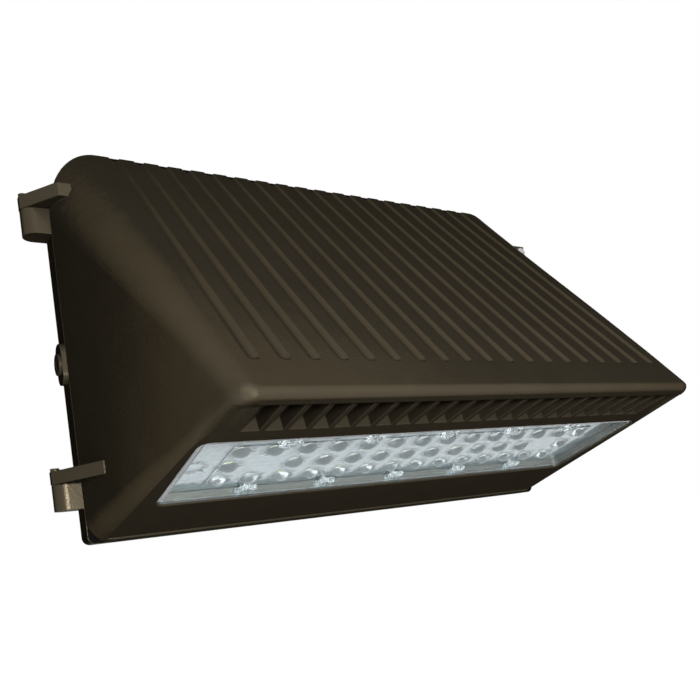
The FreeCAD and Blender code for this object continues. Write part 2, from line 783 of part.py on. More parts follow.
def add_hubs(body):
    """Tall rounded conduit hubs in the left and right walls, bored for a plug."""
    rear = -(dim.wall_gasket_thickness + dim.fit_gap)
    low = -dim.hub_middle - dim.hub_half
    high = -dim.hub_middle + dim.hub_half
    for name, way in (("left", -1.0), ("right", 1.0)):
        hub = sketch_on(body, name + "_hub", "YZ_Plane", out=way * (half_width - dim.box_wall))
        rounded_rectangle(hub, box_front + dim.fit_gap, rear, low, high, dim.hub_corner, dim.hub_corner)
        extrude(body, "Pad", hub, dim.box_wall + dim.hub_rise, reversed_way=way < 0)
        bore = sketch_on(body, name + "_hub_bore", "YZ_Plane", out=way * (half_width + dim.hub_rise))
        circle(bore, hinge_y, -dim.hub_middle, dim.plug_radius)
        extrude(body, "Pocket", bore, dim.box_wall + dim.hub_rise * 2, reversed_way=way < 0)


def add_floor_bosses(body):
    """Fixing holes, the wire entry and the posts that the inner pieces stand on."""
    floor = -(dim.wall_gasket_thickness + dim.box_floor)
    bosses = sketch_on(body, "floor_bosses", "XZ_Plane", out=-floor)
    for x, z in mount_places():
        circle(bosses, x, z, dim.mount_boss)
    for x, z in plate_places() + [ground_place]:
        circle(bosses, x, z, dim.post_radius)
    extrude(body, "Pad", bosses, dim.post_height)
    holes = sketch_on(body, "mount_holes", "XZ_Plane", out=-(floor - dim.post_height))
    for x, z in mount_places():
        circle(holes, x, z, dim.mount_bore)
    circle(holes, 0.0, dim.entry_height, dim.entry_radius)
    extrude(body, "Pocket", holes, dim.box_floor + dim.post_height + PAST)
    taps = sketch_on(body, "post_holes", "XZ_Plane", out=-(floor - dim.post_height))
    for x, z in plate_places() + [ground_place]:
        circle(taps, x, z, dim.inner_screw_radius)
    extrude(body, "Pocket", taps, dim.post_height)
    blind = sketch_on(body, "surge_screw_hole", "XZ_Plane", out=-floor)
    circle(blind, surge_screw_x, surge_screw_z, dim.inner_screw_radius)
    extrude(body, "Pocket", blind, dim.surge_screw_bite)


def mount_places():
    return [(dim.mount_wide / 2 * across, dim.mount_high / 2 * up) for across in SIDES for up in SIDES]


def plate_places():
    """The posts under the corners of the driver plate."""
    reach = dim.plate_wide / 2 - dim.plate_inset
    rise = dim.plate_high / 2 - dim.plate_inset
    return [(dim.plate_middle + reach * across, rise * up) for across in SIDES for up in SIDES]


# ---- light engine, laid on the under-face's own axes ----

def ring(body, name, depth, thickness, wide, start, end, width):
    """A flat rectangular frame of one width, level with the under-face."""
    frame = under_sketch(body, name, depth)
    corner = dim.window_corner - dim.fit_gap
    rounded_rectangle(frame, -wide, wide, start, end, corner, corner)
    rectangle(frame, -wide + width, wide - width, start + width, end - width)
    extrude(body, "Pad", frame, thickness)


def make_lens():
    """The clear optic: a tray with a raised rim, a plate of domes and ten screw bosses."""
    body = new_body("lens")
    top = dim.panel_step + dim.lens_setback
    plate_top = dim.panel_step + dim.optic_depth
    bottom = dim.panel_step + dim.tub_depth - dim.lens_gasket_thickness
    tray = under_sketch(body, "lens_outline", top)
    wide, start, end = lens_wide, lens_start, lens_end
    corner = dim.window_corner - dim.fit_gap
    rounded_rectangle(tray, -wide, wide, start, end, corner, corner)
    extrude(body, "Pad", tray, bottom - top)
    inner = (-wide + dim.lens_rim, wide - dim.lens_rim, start + dim.lens_rim, end - dim.lens_rim)
    well = under_sketch(body, "lens_well", top)
    rectangle(well, *inner)
    extrude(body, "Pocket", well, plate_top - top, reversed_way=True)
    under = under_sketch(body, "lens_under", bottom)
    rectangle(under, *inner)
    extrude(body, "Pocket", under, bottom - plate_top - dim.optic_plate)
    bosses = under_sketch(body, "lens_bosses", plate_top - dim.boss_rise)
    for x, along in lens_screw_places():
        circle(bosses, x, along, dim.boss_radius)
    extrude(body, "Pad", bosses, bottom - plate_top + dim.boss_rise)
    bores = under_sketch(body, "lens_bores", plate_top - dim.boss_rise)
    for x, along in lens_screw_places():
        circle(bores, x, along, dim.lens_screw_bore)
    extrude(body, "Pocket", bores, bottom - plate_top + dim.boss_rise, reversed_way=True)
    scallops = under_sketch(body, "lens_head_room", top)
    for x, along in lens_screw_places():
        circle(scallops, x, along, dim.lens_screw_head + dim.lens_screw_head_gap)
    extrude(body, "Pocket", scallops, plate_top - dim.boss_rise - top, reversed_way=True)
    zone = under_sketch(body, "optic_zone", plate_top - dim.optic_zone_rise)
    across = dim.optic_pitch_wide * (ROW_COUNT - 1) / 2 + dim.optic_zone_margin
    down = dim.optic_pitch_deep + dim.optic_zone_margin
    rectangle(zone, -across, across, optic_middle - down, optic_middle + down)
    extrude(body, "Pad", zone, dim.optic_zone_rise)
    for name, first, count, pitch, line in dome_rows():
        add_domes(body, bores, name, first, count, pitch, line, plate_top)
    return body


def dome_rows():
    """Row name, its first place from the middle, how many domes, their spacing, and the row."""
    pitch = dim.optic_pitch_wide
    end_place = pitch * (ROW_COUNT - 1) / 2
    inner_place = pitch * (INNER_COUNT - 1) / 2
    return (
        ("front", end_place, ROW_COUNT, pitch, -1.0),
        ("rear", end_place, ROW_COUNT, pitch, 1.0),
        ("middle", inner_place, INNER_COUNT, pitch, 0.0),
        ("ends", end_place, 2, end_place * 2, 0.0))


def add_domes(body, guide, name, first, count, pitch, line, plate_top):
    """One row of domes standing on the optic plate; two places in the middle row are bare."""
    dome = body.newObject("PartDesign::AdditiveSphere", "dome_" + name)
    plane = [item for item in body.Origin.OriginFeatures if item.Role == "XY_Plane"][0]
    dome.AttachmentSupport = (plane, "")
    dome.MapMode = "FlatFace"
    ball = (dim.dome_radius * dim.dome_radius + dim.dome_rise * dim.dome_rise) / (dim.dome_rise * 2)
    sunk = plate_top + ball - dim.dome_rise
    along = optic_middle + dim.optic_pitch_deep * line
    turn = FreeCAD.Rotation(FreeCAD.Vector(-1, 0, 0), under_angle.value)
    dome.AttachmentOffset = FreeCAD.Placement(FreeCAD.Vector(), turn)
    run = along * cosine(under_angle) + sunk * sine(under_angle)
    rise = sunk * cosine(under_angle) - along * sine(under_angle)
    dome.setExpression(".AttachmentOffset.Rotation.Angle", under_angle.text)
    dome.setExpression(".AttachmentOffset.Base.x", (-first).text)
    dome.setExpression(".AttachmentOffset.Base.y", (nose_y + run).text)
    dome.setExpression(".AttachmentOffset.Base.z", (nose_z + rise).text)
    bind(dome, "Radius", ball)
    dome.Angle1 = -90.0
    dome.Angle2 = 0.0
    doc.recompute()
    row = body.newObject("PartDesign::LinearPattern", dome.Name + "_row")
    row.Originals = [dome]
    row.Direction = (guide, ["H_Axis"])
    bind(row, "Length", pitch * (count - 1))
    row.Occurrences = count
    body.Tip = row
    doc.recompute()


def make_lens_gasket():
    body = new_body("lens_gasket")
    depth = dim.panel_step + dim.tub_depth - dim.lens_gasket_thickness
    ring(body, "lens_gasket_ring", depth, dim.lens_gasket_thickness, lens_wide, lens_start, lens_end,
         dim.lens_rim - dim.fit_gap)


def engine_plate(name, margin, thickness, floor_gap):
    """A flat rectangular layer under the lens, pierced where the screws and leads pass."""
    body = new_body(name)
    depth = dim.panel_step + dim.tub_depth - floor_gap - thickness
    sketch = under_sketch(body, name + "_outline", depth)
    inset = dim.lens_rim + margin
    rectangle(sketch, -lens_wide + inset, lens_wide - inset, lens_start + inset, lens_end - inset)
    extrude(body, "Pad", sketch, thickness)
    holes = under_sketch(body, name + "_holes", depth)
    for x, along in lens_screw_places():
        circle(holes, x, along, dim.boss_radius + dim.fit_gap)
    circle(holes, lead_x, optic_middle, dim.lead_bore)
    extrude(body, "Pocket", holes, thickness, reversed_way=True)


def make_chips():
    """The light-emitting chips, one on the board under each dome."""
    chips = []
    depth = dim.panel_step + dim.tub_depth - dim.pad_thickness - dim.board_thickness - dim.chip_height
    for name, first, count, pitch, line in dome_rows():
        along = optic_middle + dim.optic_pitch_deep * line - dim.chip_side / 2
        for place_in_row in range(count):
            chip = block("chip_%s_%d" % (name, place_in_row), dim.chip_side, dim.chip_side, dim.chip_height)
            place_under(chip, pitch * place_in_row - first - dim.chip_side / 2, along, depth)
            chips.append(chip)
    group_of("led_chips", chips)


def make_lens_screws():
    screws = []
    seat = dim.panel_step + dim.optic_depth - dim.boss_rise
    for number, (x, along) in enumerate(lens_screw_places()):
        head = rod("lens_screw_head_%d" % number, dim.lens_screw_head, dim.lens_screw_head_height)
        place_under(head, x, along, seat - dim.lens_screw_head_height)
        shank = rod("lens_screw_shank_%d" % number, dim.lens_screw_shank, dim.lens_screw_length)
        place_under(shank, x, along, seat)
        screws.append(fused("lens_screw_%d" % number, [head, shank]))
    group_of("lens_screws", screws)


def make_lead_grommet():
    """The rubber ring that the board's leads pass through, in the floor of the tub."""
    body = new_body("lead_grommet")
    floor = dim.panel_step + dim.tub_depth
    sleeve = under_sketch(body, "lead_sleeve", floor)
    circle(sleeve, lead_x, optic_middle, dim.lead_bore)
    extrude(body, "Pad", sleeve, dim.tub_floor)
    flange = under_sketch(body, "lead_flange", floor + dim.tub_floor)
    circle(flange, lead_x, optic_middle, dim.lead_bore + dim.grommet_lip)
    extrude(body, "Pad", flange, dim.grommet_lip)
    bore = under_sketch(body, "lead_grommet_bore", floor)
    circle(bore, lead_x, optic_middle, dim.lead_bore - dim.lead_grommet_wall)
    extrude(body, "Pocket", bore, dim.tub_floor + dim.grommet_lip, reversed_way=True)


# ---- gaskets, hinge pins, plugs and captive screws ----

def make_flat_ring(name, front_face, thickness, width):
    """A gasket ring that follows the outline of the back box."""
    body = new_body(name)
    sketch = sketch_on(body, name + "_outline", "XZ_Plane", out=-front_face)
    wide = half_width - dim.gasket_inset
    high = half_height - dim.gasket_inset
    low = dim.box_bottom_radius - dim.gasket_inset
    top = dim.box_top_radius - dim.gasket_inset
    rounded_rectangle(sketch, -wide, wide, -high, high, low, top)
    rounded_rectangle(sketch, -wide + width, wide - width, -high + width, high - width,
                      dim.gasket_corner, top - width)
    extrude(body, "Pad", sketch, thickness, reversed_way=True)


def make_hinge_pins():
    pins = []
    for name, level in hinge_levels:
        length = dim.knuckle_height - dim.pin_seat + dim.ear_gap + dim.ear_thickness + dim.pin_proud
        pin = rod("hinge_pin_" + name, dim.pin_radius, length)
        place(pin, hinge_x, hinge_y, level - dim.knuckle_height + dim.pin_seat)
        pins.append(pin)
    group_of("hinge_pins", pins)


def make_plugs():
    """A threaded plug with a hexagon socket closes each conduit hub."""
    for side, way in (("left", -1.0), ("right", 1.0)):
        name = "conduit_plug_" + side
        body = new_body(name)
        seat = way * (half_width + dim.hub_rise)
        stem = sketch_on(body, name + "_stem", "YZ_Plane", out=seat)
        circle(stem, hinge_y, -dim.hub_middle, dim.plug_radius)
        extrude(body, "Pad", stem, dim.plug_length, reversed_way=way > 0)
        head = sketch_on(body, name + "_head", "YZ_Plane", out=seat)
        circle(head, hinge_y, -dim.hub_middle, dim.plug_head_radius)
        extrude(body, "Pad", head, dim.plug_head_height, reversed_way=way < 0)
        socket = sketch_on(body, name + "_socket", "YZ_Plane", out=seat + way * dim.plug_head_height)
        flat = dim.plug_socket
        tall = flat * 2 / root(as_size(3.0))
        half_tall = tall / 2
        polygon(socket, (
            (hinge_y + tall, -dim.hub_middle),
            (hinge_y + half_tall, flat - dim.hub_middle),
            (hinge_y - half_tall, flat - dim.hub_middle),
            (hinge_y - tall, -dim.hub_middle),
            (hinge_y - half_tall, -flat - dim.hub_middle),
            (hinge_y + half_tall, -flat - dim.hub_middle)))
        extrude(body, "Pocket", socket, dim.plug_socket_depth, reversed_way=way < 0)


def make_cover_screws():
    """Captive screws: a head in front of the cover's lug and a collar held in the lug's pocket."""
    head_seat = rim_y - dim.lug_depth
    for name, level in hinge_levels:
        head = rod("latch_head_" + name, dim.latch_head_radius, dim.latch_head_height)
        facing(head, latch_x, head_seat, level, 90.0)
        length = dim.lug_depth + (box_front - rim_y) + dim.latch_grip
        shank = rod("latch_shank_" + name, dim.latch_screw_radius, length)
        facing(shank, latch_x, box_front + dim.latch_grip, level, 90.0)
        slot = block("latch_slot_" + name, dim.latch_head_radius * 2 + PAST, dim.slot_depth, dim.slot_width)
        place(slot, latch_x - dim.latch_head_radius - PAST / 2,
              head_seat - dim.latch_head_height, level - dim.slot_width / 2)
        whole = fused("latch_solid_" + name, [head, shank])
        screw = cut("cover_screw_" + name, whole, slot)
        screw.Label = "cover_screw_" + name
        disc = rod("collar_disc_" + name, dim.latch_collar_radius, dim.latch_collar_height)
        facing(disc, latch_x, rim_y, level, 90.0)
        hole = rod("collar_hole_" + name, dim.latch_screw_radius, dim.latch_collar_height)
        facing(hole, latch_x, rim_y, level, 90.0)
        collar = cut("screw_collar_" + name, disc, hole)
        collar.Label = "screw_collar_" + name


# ---- what the housing holds ----

def make_entry_grommet():
    """The rubber bushing in the wire entry of the back box."""
    body = new_body("wire_bushing")
    floor = dim.wall_gasket_thickness + dim.box_floor
    sleeve = sketch_on(body, "entry_sleeve", "XZ_Plane", out=dim.wall_gasket_thickness)
    circle(sleeve, 0.0, dim.entry_height, dim.entry_radius)
    extrude(body, "Pad", sleeve, dim.box_floor)
    flange = sketch_on(body, "entry_flange", "XZ_Plane", out=floor)
    circle(flange, 0.0, dim.entry_height, dim.entry_radius + dim.grommet_flange)
    extrude(body, "Pad", flange, dim.grommet_lip)
    bore = sketch_on(body, "entry_bore", "XZ_Plane", out=floor + dim.grommet_lip)
    circle(bore, 0.0, dim.entry_height, dim.entry_radius - dim.grommet_wall)
    extrude(body, "Pocket", bore, dim.box_floor + dim.grommet_lip)


def make_driver_group():
    """The driver on its sheet-metal plate, with the plate's screws and the driver's screws."""
    seat = -(dim.wall_gasket_thickness + dim.box_floor + dim.post_height)
    plate = new_body("driver_plate")
    sheet_metal = sketch_on(plate, "plate_outline", "XZ_Plane", out=-seat)
    half = dim.plate_wide / 2
    rise = dim.plate_high / 2
    rectangle(sheet_metal, dim.plate_middle - half, dim.plate_middle + half, -rise, rise)
    for x, z in plate_places():
        circle(sheet_metal, x, z, dim.inner_screw_radius)
    for way in SIDES:
        circle(sheet_metal, dim.plate_middle + way * driver_ear_x, 0.0, dim.inner_screw_radius)
    extrude(plate, "Pad", sheet_metal, dim.plate_thickness)

    face = seat - dim.plate_thickness
    driver = new_body("led_driver")
    case = sketch_on(driver, "driver_case", "XZ_Plane", out=-face)
    wide = dim.driver_wide / 2
    high = dim.driver_high / 2
    rectangle(case, dim.plate_middle - wide, dim.plate_middle + wide, -high, high)
    solid = extrude(driver, "Pad", case, dim.driver_deep)

    def front_edge(edge):
        return near(edge.CenterOfMass.y, (face - dim.driver_deep).value) and edge.Length > dim.driver_high.value / 2
    round_edges(driver, solid, front_edge, dim.driver_chamfer, "Chamfer")
    ears = sketch_on(driver, "driver_ears", "XZ_Plane", out=-face)
    reach = wide + dim.driver_ear
    rectangle(ears, dim.plate_middle - reach, dim.plate_middle + reach, -dim.driver_ear, dim.driver_ear)
    extrude(driver, "Pad", ears, dim.ear_plate)
    holes = sketch_on(driver, "driver_ear_holes", "XZ_Plane", out=-face)
    for way in SIDES:
        circle(holes, dim.plate_middle + way * driver_ear_x, 0.0, dim.inner_screw_radius)
    extrude(driver, "Pocket", holes, dim.ear_plate, reversed_way=True)

    inner_screws("plate_screws", plate_places(), seat - dim.plate_thickness, dim.plate_screw_length)
    ear_places = [(dim.plate_middle + way * driver_ear_x, as_size(0.0)) for way in SIDES]
    inner_screws("driver_screws", ear_places, face - dim.ear_plate, dim.driver_screw_length)


def inner_screws(name, places, seat, length):
    """Pan-head screws that run into the wall from a seat plane."""
    screws = []
    for number, (x, z) in enumerate(places):
        head = rod("%s_head_%d" % (name, number), dim.inner_head_radius, dim.inner_head_height)
        facing(head, x, seat, z, 90.0)
        shank = rod("%s_shank_%d" % (name, number), dim.inner_screw_radius, length)
        facing(shank, x, seat + length, z, 90.0)
        screws.append(fused("%s_%d" % (name, number), [head, shank]))
    if len(screws) == 1:
        screws[0].Label = name
    else:
        group_of(name, screws)


def make_wiring_parts():
    """The terminal block, the surge protector and the earth screw, on the box floor."""
    floor = -(dim.wall_gasket_thickness + dim.box_floor)
    base = new_body("terminal_block")
    body_sketch = sketch_on(base, "terminal_base", "XZ_Plane", out=-floor)
    half = dim.terminal_wide / 2
    high = dim.terminal_high / 2
    middle = dim.terminal_middle
    rectangle(body_sketch, middle - half, middle + half, -high, high)
    extrude(base, "Pad", body_sketch, dim.terminal_deep)
    wells = sketch_on(base, "terminal_wells", "XZ_Plane", out=-floor + dim.terminal_deep)
    for step in (-1.0, 0.0, 1.0):
        for way in SIDES:
            circle(wells, middle + dim.terminal_pitch * step, way * high / 2, dim.terminal_well)
    extrude(base, "Pocket", wells, dim.terminal_well_depth)
    screws = []
    for step in (-1.0, 0.0, 1.0):
        for way in SIDES:
            screw = rod("terminal_screw_%d_%d" % (step, way), dim.terminal_screw, dim.terminal_screw_height)
            seat = floor - dim.terminal_deep + dim.terminal_well_depth
            facing(screw, middle + dim.terminal_pitch * step, seat, way * high / 2, 90.0)
            screws.append(screw)
    group_of("terminal_screws", screws)

    surge = new_body("surge_protector")
    case = sketch_on(surge, "surge_case", "XZ_Plane", out=-floor)
    half = dim.surge_wide / 2
    rectangle(case, dim.surge_middle - half, dim.surge_middle + half, -dim.surge_drop - dim.surge_high,
              -dim.surge_drop)
    solid = extrude(surge, "Pad", case, dim.surge_deep)

    def long_edge(edge):
        return near(edge.CenterOfMass.y, (floor - dim.surge_deep).value)
    round_edges(surge, solid, long_edge, dim.driver_chamfer)
    tab = sketch_on(surge, "surge_tab", "XZ_Plane", out=-floor)
    rectangle(tab, surge_screw_x - dim.surge_tab - dim.driver_chamfer, surge_screw_x + dim.surge_tab,
              surge_screw_z - dim.surge_tab, surge_screw_z + dim.surge_tab)
    extrude(surge, "Pad", tab, dim.ear_plate)
    hole = sketch_on(surge, "surge_tab_hole", "XZ_Plane", out=-floor)
    circle(hole, surge_screw_x, surge_screw_z, dim.inner_screw_radius)
    extrude(surge, "Pocket", hole, dim.ear_plate, reversed_way=True)
    seat = floor - dim.ear_plate
    length = dim.ear_plate + dim.surge_screw_bite
    inner_screws("surge_screw", [(surge_screw_x, surge_screw_z)], seat, length)
    inner_screws("ground_screw", [ground_place], floor - dim.post_height, dim.post_height)


# ---- build, check and write ----

make_cover()
make_box()
make_lens()
make_lens_gasket()
engine_plate("thermal_pad", dim.board_margin, dim.pad_thickness, as_size(0.0))
engine_plate("led_board", dim.board_margin, dim.board_thickness, dim.pad_thickness)
make_chips()
make_lens_screws()
make_lead_grommet()
wall_face = -dim.wall_gasket_thickness
make_flat_ring("wall_gasket", wall_face, dim.wall_gasket_thickness, dim.wall_gasket_width)
gasket_face = box_front - dim.door_gasket_thickness
make_flat_ring("door_gasket", gasket_face, dim.door_gasket_thickness, dim.door_gasket_width)
make_hinge_pins()
make_plugs()
make_cover_screws()
make_entry_grommet()
make_driver_group()
make_wiring_parts()
doc.recompute()

NODES = (
    "front_cover", "lens", "lens_gasket", "led_board", "thermal_pad", "led_chips", "lens_screws",
    "lead_grommet", "back_box", "wall_gasket", "door_gasket", "hinge_pins", "conduit_plug_left",
    "conduit_plug_right", "cover_screw_upper", "cover_screw_lower", "screw_collar_upper",
    "screw_collar_lower", "wire_bushing", "driver_plate", "led_driver", "plate_screws",
    "driver_screws", "terminal_block", "terminal_screws", "surge_protector", "surge_screw",
    "ground_screw")

for item in doc.Objects:
    if "Invalid" in item.State or "Error" in item.State:
        raise RuntimeError("%s failed: %s" % (item.Name, item.State))

os.makedirs("parts", exist_ok=True)
for name in NODES:
    item = doc.getObjectsByLabel(name)[0]
    if item.Shape.isNull() or not item.Shape.isValid():
        raise RuntimeError(name + " has no valid shape")
for name in NODES:
    item = doc.getObjectsByLabel(name)[0]
    item.Shape.exportStep("parts/%s.step" % name)
    solids = item.Shape.Solids
    print("%-20s %3d solids %10.1f mm3" % (name, len(solids), sum(solid.Volume for solid in solids)))
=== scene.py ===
import json
import math

import bmesh
import bpy
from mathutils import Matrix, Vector


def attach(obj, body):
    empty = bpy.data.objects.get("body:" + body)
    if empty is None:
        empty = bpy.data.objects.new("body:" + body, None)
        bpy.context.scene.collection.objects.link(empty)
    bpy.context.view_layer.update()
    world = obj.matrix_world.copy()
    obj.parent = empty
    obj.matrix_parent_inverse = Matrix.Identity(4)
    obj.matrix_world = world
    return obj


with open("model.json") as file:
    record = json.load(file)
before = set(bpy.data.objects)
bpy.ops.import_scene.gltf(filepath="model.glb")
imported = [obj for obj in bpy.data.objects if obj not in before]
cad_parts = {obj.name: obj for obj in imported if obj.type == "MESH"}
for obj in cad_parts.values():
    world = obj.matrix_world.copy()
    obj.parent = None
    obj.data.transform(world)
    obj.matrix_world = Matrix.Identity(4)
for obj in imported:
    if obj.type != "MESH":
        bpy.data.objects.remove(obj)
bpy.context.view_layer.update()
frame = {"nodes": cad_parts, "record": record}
nodes = frame["nodes"]
slotOf = {part["node"]: part["material_slot"] for part in frame["record"]["subparts"]}
print("loaded", len(nodes), "nodes")


def newGroup(name, inputs, outputs):
    # a shader node group with named sockets, and its input and output nodes
    group = bpy.data.node_groups.new(name, "ShaderNodeTree")
    for socketName, kind, value in inputs:
        socket = group.interface.new_socket(socketName, in_out="INPUT", socket_type=kind)
        socket.default_value = value
    for socketName, kind in outputs:
        group.interface.new_socket(socketName, in_out="OUTPUT", socket_type=kind)
    return group, group.nodes.new("NodeGroupInput"), group.nodes.new("NodeGroupOutput")


def addNode(tree, kind, links=(), **settings):
    # a setting is the node's own property where it has one of that name, and otherwise a socket's value
    node = tree.nodes.new(kind)
    for key, value in settings.items():
        if hasattr(node, key):
            setattr(node, key, value)
        else:
            node.inputs[key].default_value = value
    for source, target in links:
        tree.links.new(source, node.inputs[target])
    return node


def calculate(tree, operation, *values):
    # a math node, where each value is a socket or a plain number
    node = addNode(tree, "ShaderNodeMath", operation=operation)
    for place, value in enumerate(values):
        if isinstance(value, bpy.types.NodeSocket):
            tree.links.new(value, node.inputs[place])
        else:
            node.inputs[place].default_value = value
    return node.outputs[0]


noiseSpan = (0.3, 0.7)  # where most of a noise texture's values lie


def mapRange(tree, source, span, fromSpan=noiseSpan):
    node = addNode(tree, "ShaderNodeMapRange", [(source, "Value")])
    node.inputs["From Min"].default_value, node.inputs["From Max"].default_value = fromSpan
    node.inputs["To Min"].default_value, node.inputs["To Max"].default_value = span
    return node.outputs["Result"]


def placeGroup(tree, group, values=None):
    node = tree.nodes.new("ShaderNodeGroup")
    node.node_tree = group
    for key, value in (values or {}).items():
        node.inputs[key].default_value = value
    return node


def startMaterial(name):
    material = bpy.data.materials.new(name)
    material.use_nodes = True
    tree = material.node_tree
    return material, tree, tree.nodes["Principled BSDF"]


def objectPlace(tree):
    return tree.nodes.new("ShaderNodeTexCoord").outputs["Object"]


# the nose's two ends, by distance from the middle and from the wall, and the radius they are softened to
noseEnd = {"across": (0.143, 0.152), "forward": (0.14, 0.162), "radius": 0.013}


def edgeRadius(tree, place, usual):
    # how far an edge is softened: the usual radius, and a wider one at the nose's ends
    split = addNode(tree, "ShaderNodeSeparateXYZ", [(place, "Vector")])
    across = calculate(tree, "ABSOLUTE", split.outputs["X"])
    forward = calculate(tree, "ABSOLUTE", split.outputs["Y"])
    nearSide = mapRange(tree, across, (0, 1), noseEnd["across"])
    nearNose = mapRange(tree, forward, (0, 1), noseEnd["forward"])
    atEnd = calculate(tree, "MULTIPLY", nearSide, nearNose)
    wide = calculate(tree, "MULTIPLY", atEnd, noseEnd["radius"])
    return calculate(tree, "MAXIMUM", wide, usual)


peelSizes = {"grainDetail": 2.0, "grainMix": 0.6, "swellScale": 38.0, "swellDetail": 3.0, "bevelSamples": 4}


def makePeelGroup(sizes):
    # orange peel of a baked coat: fine dimples, and larger swells that the colour drifts with
    group, ins, outs = newGroup("coatPeel", (
        ("Colour", "NodeSocketColor", (0.05, 0.04, 0.03, 1)),
        ("Grain Scale", "NodeSocketFloat", 900.0),
        ("Grain Height", "NodeSocketFloat", 0.00002),
        ("Drift", "NodeSocketFloat", 0.1),
        ("Edge Radius", "NodeSocketFloat", 0.0006),
    ), (
        ("Colour", "NodeSocketColor"),
        ("Rough Mask", "NodeSocketFloat"),
        ("Normal", "NodeSocketVector"),
    ))
    here = objectPlace(group)
    grain = addNode(group, "ShaderNodeTexNoise", [(here, "Vector"), (ins.outputs["Grain Scale"], "Scale")],
                    Detail=sizes["grainDetail"], Roughness=sizes["grainMix"])
    swell = addNode(group, "ShaderNodeTexNoise", [(here, "Vector")],
                    Scale=sizes["swellScale"], Detail=sizes["swellDetail"])
    radius = edgeRadius(group, here, ins.outputs["Edge Radius"])
    softened = addNode(group, "ShaderNodeBevel", [(radius, "Radius")], samples=sizes["bevelSamples"])
    bump = addNode(group, "ShaderNodeBump", [(grain.outputs["Fac"], "Height"),
                                             (ins.outputs["Grain Height"], "Distance"),
                                             (softened.outputs["Normal"], "Normal")], Strength=1.0)
    centred = calculate(group, "SUBTRACT", swell.outputs["Fac"], 0.5)
    lift = calculate(group, "ADD", calculate(group, "MULTIPLY", centred, ins.outputs["Drift"]), 1.0)
    tinted = addNode(group, "ShaderNodeVectorMath", [(ins.outputs["Colour"], 0), (lift, "Scale")],
                     operation="SCALE")
    group.links.new(tinted.outputs["Vector"], outs.inputs["Colour"])
    group.links.new(grain.outputs["Fac"], outs.inputs["Rough Mask"])
    group.links.new(bump.outputs["Normal"], outs.inputs["Normal"])
    return group


def makeBrushGroup(detail=4.0):
    # drawn or turned metal: long fine scratches across one axis
    group, ins, outs = newGroup("metalBrush", (
        ("Stretch", "NodeSocketVector", (60.0, 60.0, 1400.0)),
        ("Height", "NodeSocketFloat", 0.00001),
    ), (("Mask", "NodeSocketFloat"), ("Normal", "NodeSocketVector")))
    here = objectPlace(group)
    stretched = addNode(group, "ShaderNodeVectorMath", [(here, 0), (ins.outputs["Stretch"], 1)],
                        operation="MULTIPLY")
    lines = addNode(group, "ShaderNodeTexNoise", [(stretched.outputs["Vector"], "Vector")],
                    Scale=1.0, Detail=detail)
    bump = addNode(group, "ShaderNodeBump", [(lines.outputs["Fac"], "Height"),
                                             (ins.outputs["Height"], "Distance")], Strength=1.0)
    group.links.new(lines.outputs["Fac"], outs.inputs["Mask"])
    group.links.new(bump.outputs["Normal"], outs.inputs["Normal"])
    return group


peelGroup = makePeelGroup(peelSizes)
brushGroup = makeBrushGroup()
print("coat and metal groups made")

# gloss is the coat's plain gloss, and rim is its tint at flat angles: the bronze coat stays dark there
coatFinish = {
    "bronze": {"colour": (0.072, 0.0595, 0.0395, 1), "grainScale": 1100.0, "grainHeight": 0.00007,
               "rough": (0.28, 0.38), "drift": 0.25, "edge": 0.0009,
               "metallic": 0.5, "gloss": 0.0, "rim": 0.0},
    "plug": {"colour": (0.06, 0.05, 0.036, 1), "grainScale": 1500.0, "grainHeight": 0.00003,
             "rough": (0.34, 0.46), "drift": 0.2, "edge": 0.0004,
             "metallic": 0.3, "gloss": 0.0, "rim": 0.2},
    "greenSteel": {"colour": (0.03, 0.22, 0.07, 1), "grainScale": 1800.0, "grainHeight": 0.00001,
                   "rough": (0.3, 0.4), "drift": 0.2, "edge": 0.0003, "metallic": 0.6},
    "rubber": {"colour": (0.008, 0.0074, 0.0066, 1), "grainScale": 1600.0, "grainHeight": 0.00003,
               "rough": (0.6, 0.8), "drift": 0.2, "edge": 0.0003, "gloss": 0.0},
    "whitePlastic": {"colour": (0.74, 0.73, 0.68, 1), "grainScale": 900.0, "grainHeight": 0.00002,
                     "rough": (0.38, 0.5), "drift": 0.05, "edge": 0.0004},
    "darkPlastic": {"colour": (0.03, 0.03, 0.033, 1), "grainScale": 900.0, "grainHeight": 0.00003,
                    "rough": (0.42, 0.56), "drift": 0.15, "edge": 0.0005},
    "nylon": {"colour": (0.62, 0.6, 0.52, 1), "grainScale": 900.0, "grainHeight": 0.00002,
              "rough": (0.45, 0.55), "drift": 0.1, "edge": 0.0003},
    "pad": {"colour": (0.28, 0.29, 0.3, 1), "grainScale": 700.0, "grainHeight": 0.00004,
            "rough": (0.7, 0.85), "drift": 0.1, "edge": 0.0002},
}


def makeCoat(name, finish):
    material, tree, shader = startMaterial(name)
    peel = placeGroup(tree, peelGroup, {
        "Colour": finish["colour"],
        "Grain Scale": finish["grainScale"],
        "Grain Height": finish["grainHeight"],
        "Drift": finish["drift"],
        "Edge Radius": finish["edge"],
    })
    tree.links.new(peel.outputs["Colour"], shader.inputs["Base Color"])
    tree.links.new(peel.outputs["Normal"], shader.inputs["Normal"])
    rough = mapRange(tree, peel.outputs["Rough Mask"], finish["rough"])
    tree.links.new(rough, shader.inputs["Roughness"])
    rim = finish.get("rim", 1.0)
    shader.inputs["Metallic"].default_value = finish.get("metallic", 0.0)
    shader.inputs["Specular IOR Level"].default_value = finish.get("gloss", 0.5)
    shader.inputs["Specular Tint"].default_value = (rim, rim, rim, 1)
    return material


